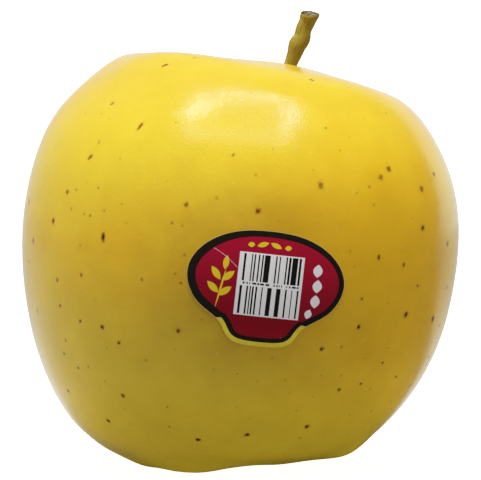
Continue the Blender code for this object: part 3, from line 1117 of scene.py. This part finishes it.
def with_bars(s, colour, u, v):
    """Colour with the pale panel and its rows of bars."""
    left, right, low, high = PANEL
    across = s.math("DIVIDE", s.sub(u, left + PANEL_MARGIN), right - left - 2.0 * PANEL_MARGIN)
    ink = 0.0
    for seed, (count, rows) in enumerate(BAR_ROWS):
        row = box_mask(s, u, v, left + PANEL_MARGIN, right - PANEL_MARGIN, *rows)
        ink = s.add(s.mul(bars(s, across, count, SEED + seed), row), ink, clamp=True)
    return s.mix(box_mask(s, u, v, *PANEL), colour, s.mix(ink, PANEL_PAPER, INK_BLACK))


def with_leaves(s, colour, u, v, leaves, ink):
    """Colour with leaf shapes in one ink."""
    mask = 0.0
    for leaf in leaves:
        mask = s.add(leaf_mask(s, u, v, *leaf), mask, clamp=True)
    return s.mix(mask, colour, ink)


def crease_mask(s, u, v):
    """1 along the arc of the crease."""
    across, up, radius, start, end = CREASE
    squares = [s.math("POWER", s.sub(at, middle), 2.0) for at, middle in ((u, across), (v, up))]
    aside = s.math("ABSOLUTE", s.sub(s.math("SQRT", s.add(*squares)), radius))
    span = s.mul(s.step(u, start, start + CREASE_START), s.fall(u, end - CREASE_END, end))
    return s.mul(s.mul(s.fall(aside, *CREASE_EDGE), span), s.step(v, up, up + CREASE_END))


def print_material():
    """Crimson field with a pale panel of bars, a yellow sprig, yellow dots and a pale chain of lozenges."""
    s = Shade("label_print")
    u, v, _ = s.split(s.vector("print"))
    place = s.place()
    tone = s.step(s.uneven(s.noise(place, CRIMSON_CLOUDS), v, CRIMSON_CLOUDS_REACH), *CRIMSON_RAMP)
    colour = with_bars(s, s.mix(tone, CRIMSON_LOW, CRIMSON_HIGH), u, v)
    colour = with_leaves(s, colour, u, v, SPRIG, INK_YELLOW)
    colour = with_leaves(s, colour, u, v, CHAIN, INK_PALE)
    crease = crease_mask(s, u, v)
    colour = s.mix(s.mul(crease, s.noise(place, CREASE_GAPS)), colour, CREASE_PALE)
    dust = s.fall(s.cells(place, DUST_CELLS), *DUST_SIZE)
    dust = s.mul(dust, s.step(s.noise(place, DUST_PATCHES), *DUST_EDGE))
    colour = s.mix(dust, colour, PANEL_PAPER)
    rough = s.uneven(s.noise(place, PRINT_GLOSS_NOISE), *PRINT_ROUGH)
    s.set(Base_Color=colour, Roughness=rough, IOR=FILM_IOR)
    s.set(Normal=s.bump(crease, CREASE_HEIGHT, s.bump(s.noise(place, *PRINT_NOISE), PRINT_HEIGHT)))
    return s.material


def border_material():
    """Black printed border of the label."""
    s = Shade("label_border")
    mottle = s.noise(s.place(), *BORDER_NOISE)
    s.set(Base_Color=s.mix(mottle, BORDER_BLACK, BORDER_BLACK_LIGHT))
    s.set(Roughness=s.uneven(mottle, *BORDER_ROUGH), IOR=FILM_IOR, Normal=s.bump(mottle, BAND_HEIGHT))
    return s.material


def lip_material():
    """Bare film beside the print: a yellow lip round the tab and a pale cut edge elsewhere."""
    s = Shade("label_lip")
    _, v, _ = s.split(s.vector("print"))
    mottle = s.noise(s.place(), *LIP_NOISE)
    yellow = s.mix(mottle, LIP_YELLOW, LIP_YELLOW_LIGHT)
    s.set(Base_Color=s.mix(s.step(v, *LIP_TO_CUT_EDGE), yellow, CUT_EDGE_PALE))
    s.set(Roughness=s.uneven(mottle, *LIP_ROUGH), IOR=FILM_IOR, Normal=s.bump(mottle, BAND_HEIGHT))
    return s.material


def stem_frame(line):
    """Two unit vectors across the stem at each point of its line, to its right and to its front."""
    along = np.gradient(line, axis=0)
    along /= np.linalg.norm(along, axis=1)[:, None]
    side = np.cross(along, (0.0, -1.0, 0.0))
    side /= np.linalg.norm(side, axis=1)[:, None]
    return side, np.cross(side, along)


def bark_relief(turn, length):
    """Height of the bark's ridges, drawn out along the stem, in millimetres."""
    around = Vector((math.cos(turn), math.sin(turn), 0.0))
    ridge = noise.noise(around * 2.6 + Vector((0.0, 0.0, length / 9.0)))
    fibre = noise.noise(around * 7.0 + Vector((4.0, 0.0, length / 5.0)))
    knob = noise.noise(around * 1.4 + Vector((9.0, 3.0, length / 1.6)))
    return BARK_RIDGE * ridge + BARK_FIBRE * fibre + BARK_KNOB * knob


def rise_to_cut(point, end, along):
    """How far a point moves along the stem to lie in the plane of its cut."""
    to_right = -math.tan(math.radians(STEM_CUT_RIGHT))
    to_back = math.tan(math.radians(STEM_CUT_FRONT))
    level = STEM_CUT_TOP + to_right * (point[0] - end[0]) + to_back * (point[1] - end[1])
    return (level - point[2]) / (along[2] - to_right * along[0] - to_back * along[1])


def build_stem():
    """Woody stem: ridged bark, a knuckle, and a flared end whose cut falls to the front."""
    knots = [(x, STEM_ROOT_Y, z, d) for x, z, d in STEM_LINE]
    path = curve(knots, np.linspace(0.0, len(knots) - 1.0, STEM_RINGS))
    line = path[:, :3]
    line[:, 1] = np.linspace(STEM_ROOT_Y, STEM_TIP_Y, STEM_RINGS)
    side, front = stem_frame(line)
    lengths = np.concatenate([[0.0], np.cumsum(np.linalg.norm(np.diff(line, axis=0), axis=1))])
    turns = np.linspace(0.0, 2.0 * math.pi, STEM_SIDES, endpoint=False)
    along = line[-1] - line[-2]
    along /= np.linalg.norm(along)
    points = []
    grain = []
    face_share = []
    for k in range(STEM_RINGS):
        to_end = lengths[-1] - lengths[k]
        cut = smooth_step(to_end, STEM_CUT_REACH, 0.0)
        rounded = STEM_CUT_ROUND * smooth_step(to_end, STEM_RIM_REACH, 0.0)
        for turn in turns:
            radius = path[k, 3] / 2.0 - rounded + bark_relief(turn, lengths[k])
            out = radius * math.cos(turn) * side[k] + radius * math.sin(turn) * front[k]
            jag = STEM_CUT_JAG * abs(noise.noise(Vector((math.cos(turn), math.sin(turn), 0.5)) * 4.0))
            rise = rise_to_cut(line[-1] + out, line[-1], along) - jag
            points.append(line[k] + out + cut * rise * along)
            grain.append((math.cos(turn), math.sin(turn), lengths[k]))
            face_share.append(0.0)
    rim = np.array(points[-STEM_SIDES:])
    middle = rim.mean(axis=0)
    for ring in range(1, STEM_END_RINGS + 1):
        share = 1.0 - ring / (STEM_END_RINGS + 1)
        dish = STEM_END_DISH * (1.0 - share**4)
        for turn, edge in zip(turns, rim):
            spot = middle + (edge - middle) * share
            rough = STEM_END_ROUGH * noise.noise(Vector(spot) / STEM_END_ROUGH_SIZE) * (1.0 - share**6)
            points.append(spot - (dish - rough) * along)
            grain.append((math.cos(turn) * share, math.sin(turn) * share, lengths[-1]))
            face_share.append(1.0 - share * 0.5)
    rings = STEM_RINGS + STEM_END_RINGS
    last = (rings - 1) * STEM_SIDES
    root = rings * STEM_SIDES
    points += [line[0], middle - STEM_END_DISH * along]
    grain += [(0.0, 0.0, 0.0), (0.0, 0.0, lengths[-1])]
    face_share += [0.0, 1.0]
    faces = bands(rings, STEM_SIDES)
    for i in range(STEM_SIDES):
        j = (i + 1) % STEM_SIDES
        faces.append((i, j, root))
        faces.append((last + j, last + i, root + 1))
    item = add_object("stem_bark", points, faces, [bark_material()])
    store(item.data, "grain", np.array(grain))
    store(item.data, "cut", np.array(face_share))
    finish_piece(item, "stem")


def sepal_point(middle, axes, angle, q, aside, lift):
    """Point of a sepal: q runs from its foot to its tip, aside is across it and lift is off its sheet."""
    right, back, up = axes
    radius = SEPAL_SPREAD * (1.0 - (1.0 - q) ** 2) + SEPAL_CURL * q**4
    drop = SEPAL_HEIGHT * q**2 + SEPAL_WAVE * q * math.sin(3.0 * angle)
    out = math.cos(angle) * right + math.sin(angle) * back
    across = -math.sin(angle) * right + math.cos(angle) * back
    return middle + radius * out + aside * across - (drop - lift) * up


def leaf_sheet(place, rows, columns, thickness):
    """Closed thin sheet: its upper side, then its lower side, joined all round."""
    points = []
    for lift in (thickness / 2.0, -thickness / 2.0):
        for row in range(rows + 1):
            for column in range(columns + 1):
                points.append(place(row / rows, column / columns * 2.0 - 1.0, lift))
    wide = columns + 1
    layer = (rows + 1) * wide
    faces = []
    for row in range(rows):
        for column in range(columns):
            a = row * wide + column
            faces.append((a, a + 1, a + wide + 1, a + wide))
            faces.append((layer + a, layer + a + wide, layer + a + wide + 1, layer + a + 1))
    loop = list(range(columns))
    loop += [row * wide + columns for row in range(rows)]
    loop += [rows * wide + column for column in range(columns, 0, -1)]
    loop += [row * wide for row in range(rows, 0, -1)]
    for a, b in zip(loop, loop[1:] + loop[:1]):
        faces.append((a, layer + a, layer + b, b))
    return points, faces


def thread(start, end, radius, sides=6, rings=7):
    """Thin dry thread that bends a little on its way."""
    along = end - start
    aside = along.orthogonal().normalized()
    over = along.cross(aside).normalized()
    points = []
    for ring in range(rings):
        share = ring / (rings - 1)
        middle = start + along * share + aside * STAMEN_BEND * math.sin(math.pi * share)
        for i in range(sides):
            a = 2.0 * math.pi * i / sides
            points.append(middle + (aside * math.cos(a) + over * math.sin(a)) * radius * (1.0 - 0.5 * share))
    faces = bands(rings, sides)
    faces.append(tuple(range(sides)))
    faces.append(tuple(range(rings * sides - 1, (rings - 1) * sides - 1, -1)))
    return points, faces


def build_calyx():
    """Dried calyx: five curled sepals round a tuft of threads, under the basin."""
    base = Vector(skin(np.array([float(STATIONS)]), np.zeros(1))[0])
    foot = leaned(0.0, 0.0, 0.0)
    up = Vector(leaned(0.0, 0.0, 1.0) - foot)
    right = Vector(leaned(1.0, 0.0, 0.0) - foot)
    axes = (right, up.cross(right), up)
    middle = base - up * SEPAL_FOOT_DROP
    draw = random.Random(SEED)
    shells = []
    for k in range(SEPALS):
        angle = 2.0 * math.pi * k / SEPALS
        curl = draw.uniform(0.6, 1.2)

        def place(q, across, lift):
            half = SEPAL_WIDTH * (1.0 - q) ** 0.7 * (0.62 + 0.55 * q) + SEPAL_TIP_WIDTH
            cup = SEPAL_CUP * curl * across**2 * q
            crease = noise.noise(Vector((across * 1.7, q * 3.0, k * 5.0))) * SEPAL_CREASE
            return sepal_point(middle, axes, angle, SEPAL_START + (1.0 - SEPAL_START) * q, across * half,
                               lift * (1.0 - 0.6 * q) - cup + crease * (1.0 - 0.4 * q))

        shells.append(leaf_sheet(place, SEPAL_ROWS, SEPAL_COLUMNS, SEPAL_SHEET))
    for k in range(STAMENS):
        angle = draw.uniform(0.0, 2.0 * math.pi)
        out = right * math.cos(angle) + axes[1] * math.sin(angle)
        start = middle + out * draw.uniform(0.3, 1.0)
        end = start + out * draw.uniform(-0.4, 0.6) - up * draw.uniform(1.0, STAMEN_LENGTH)
        shells.append(thread(start, end, STAMEN_RADIUS))
    points = []
    faces = []
    for shell_points, shell_faces in shells:
        first = len(points)
        points += [tuple(p) for p in shell_points]
        faces += [tuple(first + i for i in face) for face in shell_faces]
    item = add_object("calyx_dry", points, faces, [sepal_material()])
    finish_piece(item, "calyx")


def bark_material():
    """Olive bark with darker lengthwise fibres and a russet right side, darker partly as painted shade, and a
    greyish end with a dark rim.
    """
    s = Shade("stem_bark")
    side, front, length = s.split(s.vector("grain"))
    drawn = s.tree.nodes.new("ShaderNodeCombineXYZ")
    scales = (FIBRE_ROUND, FIBRE_ROUND, FIBRE_ALONG)
    for socket, value, scale in zip(drawn.inputs, (side, front, length), scales):
        s.plug(socket, s.mul(value, scale))
    fibre = s.noise(drawn.outputs[0], *FIBRE_NOISE)
    blotch = s.noise(s.place(), *BARK_BLOTCH_NOISE)
    # Painted shade in part: the right side leans to darker russet
    shade = s.uneven(blotch, s.mul(side, BARK_SHADE_BY_SIDE), BARK_BY_BLOTCH)
    colour = s.mix(s.step(shade, *BARK_RUSSET_EDGE), BARK_LIGHT, BARK_RUSSET_AND_SHADE)
    colour = s.mix(s.mul(s.step(fibre, *FIBRE_EDGE), FIBRE_SHARE), colour, BARK_DARK)
    colour = s.mix(s.mul(s.fall(length, *BARK_FOOT_EDGE), BARK_FOOT_SHARE), colour, BARK_FOOT)
    cut = s.number("cut")
    wood = s.mix(s.step(s.noise(s.place(), *WOOD_NOISE), *WOOD_EDGE), CUT_WOOD, CUT_RIM)
    wood = s.mix(s.fall(cut, *WOOD_RIM), wood, CUT_RIM)
    colour = s.mix(s.step(cut, *WOOD_START), colour, wood)
    s.set(Base_Color=colour, Roughness=s.uneven(fibre, *BARK_ROUGH), IOR=BARK_IOR)
    relief = s.bump(fibre, FIBRE_HEIGHT)
    s.set(Normal=s.bump(s.noise(s.place(), *BARK_GRAIN_NOISE), BARK_GRAIN_HEIGHT, relief))
    return s.material


def sepal_material():
    """Dry, papery brown with greyer blotches."""
    s = Shade("calyx_dry")
    place = s.place()
    blotch = s.noise(place, *SEPAL_BLOTCH_NOISE)
    fine = s.noise(place, *SEPAL_FINE_NOISE)
    colour = s.mix(s.step(blotch, *SEPAL_GREY_EDGE), SEPAL_BROWN, SEPAL_GREY)
    s.set(Base_Color=s.tint(colour, s.uneven(fine, *SEPAL_TONE)))
    s.set(Roughness=s.uneven(fine, *SEPAL_ROUGH), IOR=SEPAL_IOR)
    s.set(Normal=s.bump(s.add(blotch, fine), SEPAL_RELIEF))
    return s.material


def paper_material():
    """White seamless paper that glows, as if lit from behind."""
    s = Shade("paper_white")
    tooth = s.noise(s.place(), *PAPER_NOISE)
    s.set(Base_Color=s.mix(tooth, PAPER_WHITE, PAPER_WHITE_LIGHT))
    s.set(Roughness=s.uneven(tooth, *PAPER_ROUGH), IOR=PAPER_IOR)
    s.set(Emission_Color=GLOW_WHITE, Emission_Strength=PAPER_GLOW)
    return s.material


def mirrored_material():
    """Surface that shines as bright as its glow says."""
    s = Shade("mirrored_glow")
    s.set(Base_Color=NO_COLOUR, Roughness=1.0)
    s.set(Emission_Color=GLOW_WHITE, Emission_Strength=s.number("glow"))
    return s.material


def build_stage():
    """Seamless paper that curves up into a wall, and the dome and floor that only the skin's gloss sees."""
    path = [(-FLOOR_FRONT, 0.0)]
    for a in np.radians(np.linspace(0.0, 90.0, SWEEP_STEPS)):
        path.append((FLOOR_BACK + SWEEP_RADIUS * math.sin(a), SWEEP_RADIUS * (1.0 - math.cos(a))))
    path.append((FLOOR_BACK + SWEEP_RADIUS, WALL_TOP))
    points = [(side * SWEEP_HALF_WIDTH, y, z) for y, z in path for side in (-1.0, 1.0)]
    faces = [(2 * k, 2 * k + 1, 2 * k + 3, 2 * k + 2) for k in range(len(path) - 1)]
    sweep = add_object("paper_sweep", np.array(points) / MM, faces, [paper_material()])
    sweep.visible_glossy = False
    glowing = mirrored_material()
    mirrored = [add_mirrored("mirrored_dome", dome_rings(), glowing),
                add_mirrored("mirrored_floor", floor_rings(), glowing)]
    for item in mirrored:
        item.visible_camera = False
    for item in [sweep] + mirrored:
        item.visible_diffuse = False
        item.visible_shadow = False


def glow_towards(turn, glow):
    """Glow of the surroundings in directions that are in degrees from straight behind the apple."""
    turn = (turn + 180.0) % 360.0 - 180.0
    return np.interp(turn, *np.transpose(glow))


def dome_rings():
    """Rings of the dome as directions in degrees, points in metres and glow."""
    for elevation in np.linspace(*DOME_ELEVATIONS, DOME_RINGS):
        e = math.radians(elevation)
        turns = np.linspace(-180.0, 180.0, DOME_SIDES, endpoint=False)
        a = np.radians(turns)
        level = np.full(DOME_SIDES, math.sin(e))
        points = np.stack([np.sin(a) * math.cos(e), np.cos(a) * math.cos(e), level], axis=1)
        dimmed = 1.0 - (1.0 - DOME_DIMMED) * smooth_step(elevation, *DOME_DIM)
        shift = np.interp(elevation, *np.transpose(DOME_TURN))
        yield points * DOME_RADIUS, glow_towards(turns + shift, DOME_GLOW) * dimmed


def floor_rings():
    """Rings of the mirrored floor, with a painted shadow of the apple under it."""
    for radius in np.linspace(0.0, 1.0, DOME_RINGS) ** 2 * DOME_RADIUS:
        turns = np.linspace(-180.0, 180.0, DOME_SIDES, endpoint=False)
        points = [(math.sin(a) * radius, math.cos(a) * radius, -FLOOR_DROP) for a in np.radians(turns)]
        # Painted shadow: the floor's glow is dark right under the apple
        bright = smooth_step(radius, FLOOR_SHADOW, FLOOR_BRIGHT)
        bright *= 1.0 - FLOOR_DIM * smooth_step(radius, FLOOR_BRIGHT, FLOOR_DIM_AT)
        yield np.array(points), glow_towards(turns, FLOOR_GLOW) * bright


def add_mirrored(name, rings, glowing):
    """Surface through rings of points, each ring with its glow."""
    points, glow = zip(*rings)
    item = add_object(name, np.concatenate(points) / MM, bands(len(points), DOME_SIDES), [glowing])
    store(item.data, "glow", np.concatenate(glow))
    return item


def add_light(name, middle, size, radiance):
    """Rectangular light that looks straight down, in metres, whose surface shines with the given radiance."""
    data = bpy.data.lights.new(name, "AREA")
    data.shape = "RECTANGLE"
    data.size, data.size_y = size
    data.energy = radiance * math.pi * size[0] * size[1]
    lamp = bpy.data.objects.new(name, data)
    lamp.location = middle
    bpy.context.scene.collection.objects.link(lamp)
    return lamp


def light_scene():
    """A mirrored softbox with a bright rim, a broad light from above, and a room that is brighter behind."""
    for k, (start, end, width, radiance) in enumerate(BOX_STRIPS + [BOX_MIDDLE]):
        x, y = (np.array(start) + end) / 2.0
        dx, dy = np.subtract(end, start)
        lamp = add_light(f"softbox_{k}", (x, y, BOX_HEIGHT), (math.hypot(dx, dy), width), radiance)
        lamp.rotation_euler = (0.0, 0.0, math.atan2(dy, dx))
        lamp.visible_diffuse = False
    add_light("overhead", OVERHEAD_AT, OVERHEAD_SIZE, OVERHEAD_RADIANCE).visible_glossy = False
    world = bpy.data.worlds.new("room")
    world.use_nodes = True
    tree = world.node_tree
    place = tree.nodes.new("ShaderNodeTexCoord")
    split = tree.nodes.new("ShaderNodeSeparateXYZ")
    tree.links.new(place.outputs["Generated"], split.inputs[0])
    ramp = tree.nodes.new("ShaderNodeFloatCurve")
    points = ramp.mapping.curves[0].points
    for k, (height, grey) in enumerate(ROOM):
        point = points[k] if k < 2 else points.new(0.0, 0.0)
        point.location = (height / 2.0 + 0.5, grey)
    ramp.mapping.update()
    lift = tree.nodes.new("ShaderNodeMath")
    lift.operation = "MULTIPLY_ADD"
    lift.inputs[1].default_value = 0.5
    lift.inputs[2].default_value = 0.5
    tree.links.new(split.outputs["Z"], lift.inputs[0])
    tree.links.new(lift.outputs[0], ramp.inputs["Value"])
    gain = tree.nodes.new("ShaderNodeMath")
    gain.operation = "MULTIPLY_ADD"
    gain.inputs[1].default_value = ROOM_BACK_GAIN
    gain.inputs[2].default_value = 1.0
    tree.links.new(split.outputs["Y"], gain.inputs[0])
    tree.links.new(ramp.outputs[0], tree.nodes["Background"].inputs["Color"])
    tree.links.new(gain.outputs[0], tree.nodes["Background"].inputs["Strength"])
    world.cycles_visibility.glossy = False
    bpy.context.scene.world = world


def add_camera():
    """Camera at the photograph's angle: level with the fruit and slightly above it."""
    data = bpy.data.cameras.new("camera")
    data.sensor_fit = "HORIZONTAL"
    data.sensor_width = SENSOR
    data.lens = SENSOR * CAMERA_DISTANCE / (PHOTO_WIDTH * MM_PER_PIXEL)
    data.clip_start = CLIP_START
    data.clip_end = CLIP_END
    camera = bpy.data.objects.new("camera", data)
    start, _ = photo_ray(PHOTO_WIDTH / 2.0, PHOTO_HEIGHT / 2.0)
    camera.location = start * MM
    camera.rotation_euler = (math.radians(90.0 - CAMERA_PITCH), 0.0, 0.0)
    bpy.context.scene.collection.objects.link(camera)
    bpy.context.scene.camera = camera


def set_film():
    """Plain colours with a soft shoulder in the highlights."""
    view = bpy.context.scene.view_settings
    view.view_transform = "Standard"
    view.use_curve_mapping = True
    film = view.curve_mapping
    white = FILM_CURVE[-1][0]
    film.white_level = (white, white, white)
    points = film.curves[3].points
    for k, (bright, shown) in enumerate(FILM_CURVE):
        point = points[0] if k < 1 else points[-1] if k == len(FILM_CURVE) - 1 else points.new(0.0, 0.0)
        point.location = (bright / white, shown)
    film.update()


def skin_tree():
    """Fine mesh of the bare skin, to lay things on."""
    station = np.linspace(0.0, STATIONS, TREE_RINGS)
    turn = np.linspace(-math.pi, math.pi, TREE_SIDES, endpoint=False)
    points = skin(*np.meshgrid(station, turn, indexing="ij")).reshape(-1, 3)
    return BVHTree.FromPolygons([Vector(p) for p in points], bands(TREE_RINGS, TREE_SIDES))


def main():
    add_camera()
    build_skin(skin_tree())
    build_stem()
    build_label()
    build_calyx()
    build_stage()
    light_scene()
    set_film()


main()
